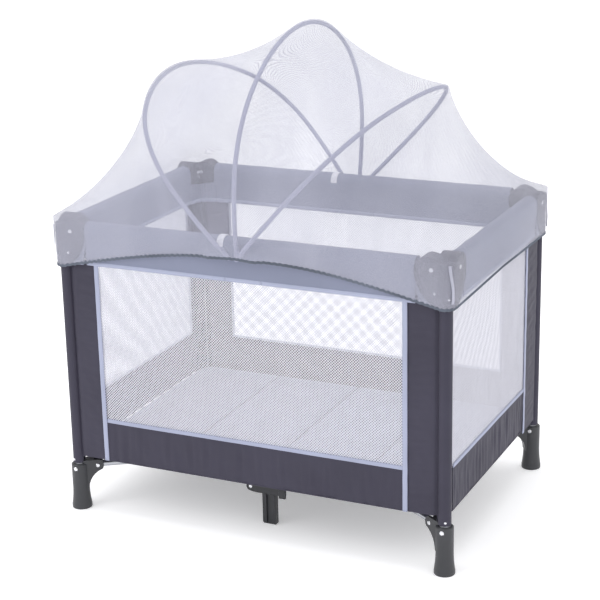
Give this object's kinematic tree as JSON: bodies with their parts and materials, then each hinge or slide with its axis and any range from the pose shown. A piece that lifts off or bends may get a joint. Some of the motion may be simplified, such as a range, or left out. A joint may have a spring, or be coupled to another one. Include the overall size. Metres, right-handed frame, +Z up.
{
  "type": "travel play yard",
  "caption": "Folding travel play yard: padded rails, mesh sides, folding base hub, panelled mattress and a hooped insect net.",
  "frame": {"origin": "on the floor under the centre of the yard", "axes": "+Z up, long side along X, front at -Y"},
  "size_m": [1.0254, 0.7884, 1.2014],
  "materials": {
    "post_metal": "satin",
    "tube_steel": "satin",
    "rivet_steel": "polished",
    "foot_plastic": "fine grained",
    "cap_plastic": "fine grained",
    "hub_plastic": "matte",
    "black_plastic": "matte",
    "latch_plastic": "matte",
    "button_plastic": "semi-gloss",
    "cover_fabric": "padded woven polyester",
    "wall_fabric": "open mesh with woven bands",
    "floor_fabric": "woven polyester",
    "mattress_fabric": "quilted polyester",
    "hoop_sleeve": "woven sleeve over a sprung rod",
    "net_fabric": "fine insect netting",
    "strap_webbing": "webbing"
  },
  "bodies": {
    "corner_fl": {"post_fl": "post_metal", "foot_fl": "foot_plastic", "cap_fl": "cap_plastic", "rivets_fl": "rivet_steel", "wall_front": "wall_fabric"},
    "corner_fr": {"post_fr": "post_metal", "foot_fr": "foot_plastic", "cap_fr": "cap_plastic", "rivets_fr": "rivet_steel", "wall_right": "wall_fabric"},
    "corner_br": {"post_br": "post_metal", "foot_br": "foot_plastic", "cap_br": "cap_plastic", "rivets_br": "rivet_steel", "wall_back": "wall_fabric"},
    "corner_bl": {"post_bl": "post_metal", "foot_bl": "foot_plastic", "cap_bl": "cap_plastic", "rivets_bl": "rivet_steel", "wall_left": "wall_fabric"},
    "tube_fl": {"base_tube_fl": "tube_steel"},
    "tube_fr": {"base_tube_fr": "tube_steel"},
    "tube_br": {"base_tube_br": "tube_steel"},
    "tube_bl": {"base_tube_bl": "tube_steel"},
    "hub": {"hub": "hub_plastic", "hub_pins": "rivet_steel", "lift_strap": "strap_webbing", "floor_fabric": "floor_fabric"},
    "arm_front": {"mid_arm_front": "tube_steel"},
    "arm_back": {"mid_arm_back": "tube_steel"},
    "leg_front": {"mid_leg_front": "black_plastic"},
    "leg_back": {"mid_leg_back": "black_plastic"},
    "rail_front_left": {"rail_front_left": "tube_steel"},
    "latch_front": {"latch_front": "latch_plastic", "rail_cover_front": "cover_fabric"},
    "button_front": {"button_front": "button_plastic"},
    "rail_front_right": {"rail_front_right": "tube_steel"},
    "rail_back_left": {"rail_back_left": "tube_steel"},
    "latch_back": {"latch_back": "latch_plastic", "rail_cover_back": "cover_fabric"},
    "button_back": {"button_back": "button_plastic"},
    "rail_back_right": {"rail_back_right": "tube_steel"},
    "rail_right_front": {"rail_right_front": "tube_steel"},
    "latch_right": {"latch_right": "latch_plastic", "rail_cover_right": "cover_fabric"},
    "button_right": {"button_right": "button_plastic"},
    "rail_right_back": {"rail_right_back": "tube_steel"},
    "rail_left_front": {"rail_left_front": "tube_steel"},
    "latch_left": {"latch_left": "latch_plastic", "rail_cover_left": "cover_fabric"},
    "button_left": {"button_left": "button_plastic"},
    "rail_left_back": {"rail_left_back": "tube_steel"},
    "mattress_1": {"mattress_panel_1": "mattress_fabric"},
    "mattress_2": {"mattress_panel_2": "mattress_fabric"},
    "mattress_3": {"mattress_panel_3": "mattress_fabric"},
    "mattress_4": {"mattress_panel_4": "mattress_fabric"},
    "net": {"insect_net": "net_fabric", "hoop_centre": "hoop_sleeve"},
    "net_hoop_left": {"hoop_left": "hoop_sleeve"},
    "net_hoop_right": {"hoop_right": "hoop_sleeve"}
  },
  "joints": [
    {"name": "fold", "type": "hinge", "parent": "corner_fl", "child": "tube_fl", "pos_m": [-0.44967, -0.30718, 0.112], "axis": [0.5641, -0.8257, 0], "range_deg": [0, 78], "deforming": ["insect_net", "hoop_left", "hoop_centre", "hoop_right", "wall_front", "wall_right", "wall_back", "wall_left", "rail_cover_front", "rail_cover_right", "rail_cover_back", "rail_cover_left", "floor_fabric", "mattress_panel_1", "mattress_panel_2", "mattress_panel_3", "mattress_panel_4", "lift_strap"]},
    {"name": "hub_on_tube_fl", "type": "hinge", "parent": "tube_fl", "child": "hub", "pos_m": [-0.03798, -0.02595, 0.112], "axis": [0.5641, -0.8257, 0], "range_deg": [-78, 0]},
    {"name": "tube_fr_on_hub", "type": "hinge", "parent": "hub", "child": "tube_fr", "pos_m": [0.03798, -0.02595, 0.112], "axis": [0.5641, 0.8257, 0], "range_deg": [0, 78]},
    {"name": "corner_fr_on_tube", "type": "hinge", "parent": "tube_fr", "child": "corner_fr", "pos_m": [0.44967, -0.30718, 0.112], "axis": [0.5641, 0.8257, 0], "range_deg": [-78, 0]},
    {"name": "tube_br_on_hub", "type": "hinge", "parent": "hub", "child": "tube_br", "pos_m": [0.03798, 0.02595, 0.112], "axis": [-0.5641, 0.8257, 0], "range_deg": [0, 78]},
    {"name": "corner_br_on_tube", "type": "hinge", "parent": "tube_br", "child": "corner_br", "pos_m": [0.44967, 0.30718, 0.112], "axis": [-0.5641, 0.8257, 0], "range_deg": [-78, 0]},
    {"name": "tube_bl_on_hub", "type": "hinge", "parent": "hub", "child": "tube_bl", "pos_m": [-0.03798, 0.02595, 0.112], "axis": [-0.5641, -0.8257, 0], "range_deg": [0, 78]},
    {"name": "corner_bl_on_tube", "type": "hinge", "parent": "tube_bl", "child": "corner_bl", "pos_m": [-0.44967, 0.30718, 0.112], "axis": [-0.5641, -0.8257, 0], "range_deg": [-78, 0]},
    {"name": "arm_front_on_hub", "type": "hinge", "parent": "hub", "child": "arm_front", "pos_m": [0, -0.046, 0.112], "axis": [1, 0, 0], "range_deg": [0, 78]},
    {"name": "leg_front_on_arm", "type": "hinge", "parent": "arm_front", "child": "leg_front", "pos_m": [0, -0.24, 0.112], "axis": [1, 0, 0], "range_deg": [-78, 0]},
    {"name": "arm_back_on_hub", "type": "hinge", "parent": "hub", "child": "arm_back", "pos_m": [0, 0.046, 0.112], "axis": [-1, 0, 0], "range_deg": [0, 78]},
    {"name": "leg_back_on_arm", "type": "hinge", "parent": "arm_back", "child": "leg_back", "pos_m": [0, 0.24, 0.112], "axis": [-1, 0, 0], "range_deg": [-78, 0]},
    {"name": "rail_front_left_fold", "type": "hinge", "parent": "corner_fl", "child": "rail_front_left", "pos_m": [-0.458, -0.332, 0.727], "axis": [0, 1, 0], "range_deg": [0, 78]},
    {"name": "latch_front_on_rail", "type": "hinge", "parent": "rail_front_left", "child": "latch_front", "pos_m": [-0.0463, -0.332, 0.727], "axis": [0, 1, 0], "range_deg": [-78, 0]},
    {"name": "button_front_press", "type": "slide", "parent": "latch_front", "child": "button_front", "axis": [0, 0, 1], "range_m": [0, 0.005], "stiffness_N_per_m": 250},
    {"name": "rail_front_right_fold", "type": "hinge", "parent": "corner_fr", "child": "rail_front_right", "pos_m": [0.458, -0.332, 0.727], "axis": [0, -1, 0], "range_deg": [0, 78]},
    {"name": "rail_back_left_fold", "type": "hinge", "parent": "corner_bl", "child": "rail_back_left", "pos_m": [-0.458, 0.332, 0.727], "axis": [0, 1, 0], "range_deg": [0, 78]},
    {"name": "latch_back_on_rail", "type": "hinge", "parent": "rail_back_left", "child": "latch_back", "pos_m": [-0.0463, 0.332, 0.727], "axis": [0, 1, 0], "range_deg": [-78, 0]},
    {"name": "button_back_press", "type": "slide", "parent": "latch_back", "child": "button_back", "axis": [0, 0, 1], "range_m": [0, 0.005], "stiffness_N_per_m": 250},
    {"name": "rail_back_right_fold", "type": "hinge", "parent": "corner_br", "child": "rail_back_right", "pos_m": [0.458, 0.332, 0.727], "axis": [0, -1, 0], "range_deg": [0, 78]},
    {"name": "rail_right_front_fold", "type": "hinge", "parent": "corner_fr", "child": "rail_right_front", "pos_m": [0.486, -0.304, 0.727], "axis": [-1, 0, 0], "range_deg": [0, 78]},
    {"name": "latch_right_on_rail", "type": "hinge", "parent": "rail_right_front", "child": "latch_right", "pos_m": [0.486, -0.0227, 0.727], "axis": [-1, 0, 0], "range_deg": [-78, 0]},
    {"name": "button_right_press", "type": "slide", "parent": "latch_right", "child": "button_right", "axis": [0, 0, 1], "range_m": [0, 0.005], "stiffness_N_per_m": 250},
    {"name": "rail_right_back_fold", "type": "hinge", "parent": "corner_br", "child": "rail_right_back", "pos_m": [0.486, 0.304, 0.727], "axis": [1, 0, 0], "range_deg": [0, 78]},
    {"name": "rail_left_front_fold", "type": "hinge", "parent": "corner_fl", "child": "rail_left_front", "pos_m": [-0.486, -0.304, 0.727], "axis": [-1, 0, 0], "range_deg": [0, 78]},
    {"name": "latch_left_on_rail", "type": "hinge", "parent": "rail_left_front", "child": "latch_left", "pos_m": [-0.486, -0.0227, 0.727], "axis": [-1, 0, 0], "range_deg": [-78, 0]},
    {"name": "button_left_press", "type": "slide", "parent": "latch_left", "child": "button_left", "axis": [0, 0, 1], "range_m": [0, 0.005], "stiffness_N_per_m": 250},
    {"name": "rail_left_back_fold", "type": "hinge", "parent": "corner_bl", "child": "rail_left_back", "pos_m": [-0.486, 0.304, 0.727], "axis": [1, 0, 0], "range_deg": [0, 78]},
    {"name": "mattress_2_on_hub", "type": "hinge", "parent": "hub", "child": "mattress_2", "pos_m": [0, 0, 0.1665], "axis": [0, 1, 0], "range_deg": [0, 78]},
    {"name": "mattress_3_on_hub", "type": "hinge", "parent": "hub", "child": "mattress_3", "pos_m": [0, 0, 0.1665], "axis": [0, -1, 0], "range_deg": [0, 78]},
    {"name": "mattress_1_on_2", "type": "hinge", "parent": "mattress_2", "child": "mattress_1", "pos_m": [-0.238, 0, 0.1465], "axis": [0, 1, 0], "range_deg": [-156, 0]},
    {"name": "mattress_4_on_3", "type": "hinge", "parent": "mattress_3", "child": "mattress_4", "pos_m": [0.238, 0, 0.1465], "axis": [0, -1, 0], "range_deg": [-156, 0]},
    {"name": "net_lift", "type": "slide", "parent": "hub", "child": "net", "axis": [0, 0, 1], "range_m": [0, 0.3], "deforming": ["insect_net"]},
    {"name": "hoop_left_swing", "type": "hinge", "parent": "net", "child": "net_hoop_left", "pos_m": [-0.034, 0, 0.705], "axis": [0, 1, 0], "range_deg": [0, 35.6], "deforming": ["insect_net", "hoop_left", "hoop_centre", "hoop_right"]},
    {"name": "hoop_right_swing", "type": "hinge", "parent": "net", "child": "net_hoop_right", "pos_m": [-0.011, 0, 0.705], "axis": [0, 1, 0], "range_deg": [-38.4, 0], "deforming": ["insect_net", "hoop_left", "hoop_centre", "hoop_right"]}
  ],
  "couplings": [
    {"joint": "hub_on_tube_fl", "follows": "fold", "ratio": -1},
    {"joint": "tube_fr_on_hub", "follows": "fold", "ratio": 1},
    {"joint": "corner_fr_on_tube", "follows": "fold", "ratio": -1},
    {"joint": "tube_br_on_hub", "follows": "fold", "ratio": 1},
    {"joint": "corner_br_on_tube", "follows": "fold", "ratio": -1},
    {"joint": "tube_bl_on_hub", "follows": "fold", "ratio": 1},
    {"joint": "corner_bl_on_tube", "follows": "fold", "ratio": -1},
    {"joint": "arm_front_on_hub", "follows": "fold", "ratio": 1},
    {"joint": "leg_front_on_arm", "follows": "fold", "ratio": -1},
    {"joint": "arm_back_on_hub", "follows": "fold", "ratio": 1},
    {"joint": "leg_back_on_arm", "follows": "fold", "ratio": -1},
    {"joint": "rail_front_left_fold", "follows": "fold", "ratio": 1},
    {"joint": "latch_front_on_rail", "follows": "fold", "ratio": -1},
    {"joint": "rail_front_right_fold", "follows": "fold", "ratio": 1},
    {"joint": "rail_back_left_fold", "follows": "fold", "ratio": 1},
    {"joint": "latch_back_on_rail", "follows": "fold", "ratio": -1},
    {"joint": "rail_back_right_fold", "follows": "fold", "ratio": 1},
    {"joint": "rail_right_front_fold", "follows": "fold", "ratio": 1},
    {"joint": "latch_right_on_rail", "follows": "fold", "ratio": -1},
    {"joint": "rail_right_back_fold", "follows": "fold", "ratio": 1},
    {"joint": "rail_left_front_fold", "follows": "fold", "ratio": 1},
    {"joint": "latch_left_on_rail", "follows": "fold", "ratio": -1},
    {"joint": "rail_left_back_fold", "follows": "fold", "ratio": 1},
    {"joint": "mattress_2_on_hub", "follows": "fold", "ratio": 1},
    {"joint": "mattress_3_on_hub", "follows": "fold", "ratio": 1},
    {"joint": "mattress_1_on_2", "follows": "fold", "ratio": -2},
    {"joint": "mattress_4_on_3", "follows": "fold", "ratio": -2},
    {"joint": "hoop_left_swing", "follows": "fold", "ratio": 0.45641},
    {"joint": "hoop_right_swing", "follows": "fold", "ratio": -0.49231}
  ]
}
